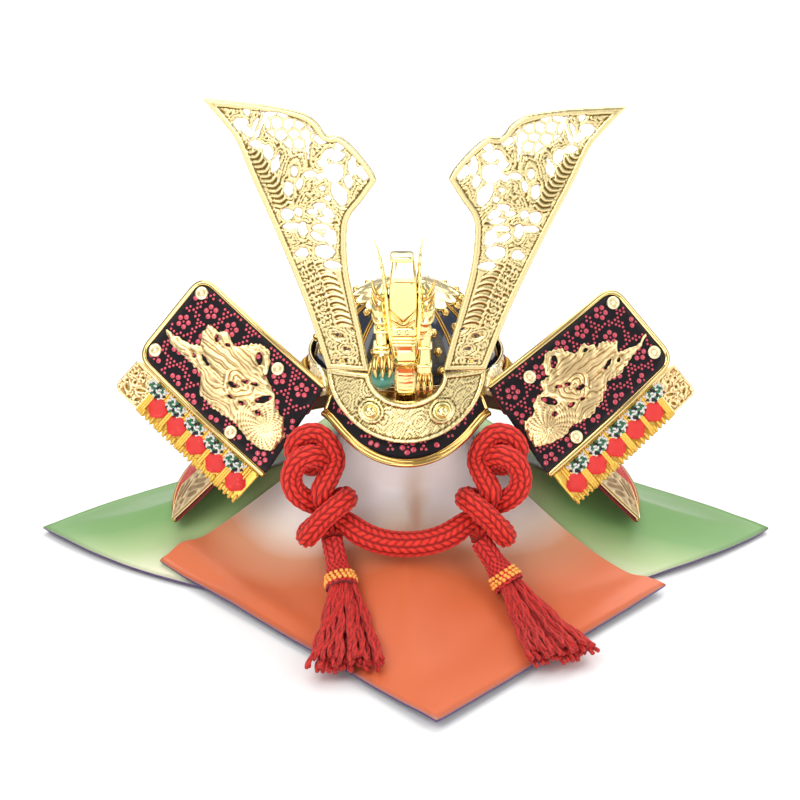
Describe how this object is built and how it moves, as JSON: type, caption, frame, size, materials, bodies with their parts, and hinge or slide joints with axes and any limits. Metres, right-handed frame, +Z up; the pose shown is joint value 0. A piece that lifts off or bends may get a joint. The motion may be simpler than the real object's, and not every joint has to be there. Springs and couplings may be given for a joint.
{
  "type": "kabuto samurai helmet on a draped display stand",
  "caption": "Miniature samurai helmet with pierced horns, dragon crest, turned-back panels, laced neck guard and knotted chin cord, on a post draped with two silk cloths.",
  "frame": {"origin": "centre of the stand post's underside, on the floor", "axes": "+Z up along the post, the helmet faces -Y"},
  "size_m": [0.3146, 0.3092, 0.2065],
  "materials": {
    "gold": "polished gold plating",
    "pale_gold": "satin pale gold plating",
    "leather": "black printed leather",
    "lacquer": "glossy dark blue lacquer",
    "red_braid": "braided silk",
    "orange_silk": "satin",
    "green_silk": "satin",
    "laced_lacquer": "silk lacing over lacquered plates",
    "jade": "polished green glass",
    "board": "plain board"
  },
  "bodies": {
    "root": {"stand_post": "board", "cloth_green": "green_silk", "cloth_orange": "orange_silk", "bowl": "lacquer", "waist_band": "gold", "crown_mount": "gold", "visor": "leather", "visor_rim": "gold", "lame_first": "laced_lacquer", "lame_second": "laced_lacquer", "lame_third": "laced_lacquer", "lame_fourth": "laced_lacquer", "lame_bottom": "laced_lacquer", "corner_plate_right": "pale_gold", "corner_plate_left": "pale_gold", "panel_left": "leather", "panel_rim_left": "gold", "dragon_left": "pale_gold", "stud_left_1": "pale_gold", "stud_left_2": "pale_gold", "stud_left_3": "pale_gold", "stud_left_4": "pale_gold", "laced_strip_left": "gold", "strip_fitting_left": "pale_gold", "panel_right": "leather", "panel_rim_right": "gold", "dragon_right": "pale_gold", "stud_right_1": "pale_gold", "stud_right_2": "pale_gold", "stud_right_3": "pale_gold", "stud_right_4": "pale_gold", "laced_strip_right": "gold", "strip_fitting_right": "pale_gold", "horn_base": "gold", "base_rivet_left": "gold", "base_rivet_right": "gold", "horn_left": "gold", "horn_right": "gold", "dragon_crest": "gold", "jewel": "jade", "knot_left": "red_braid", "tassel_left": "red_braid", "knot_right": "red_braid", "tassel_right": "red_braid", "cord_swag": "red_braid"}
  },
  "joints": []
}
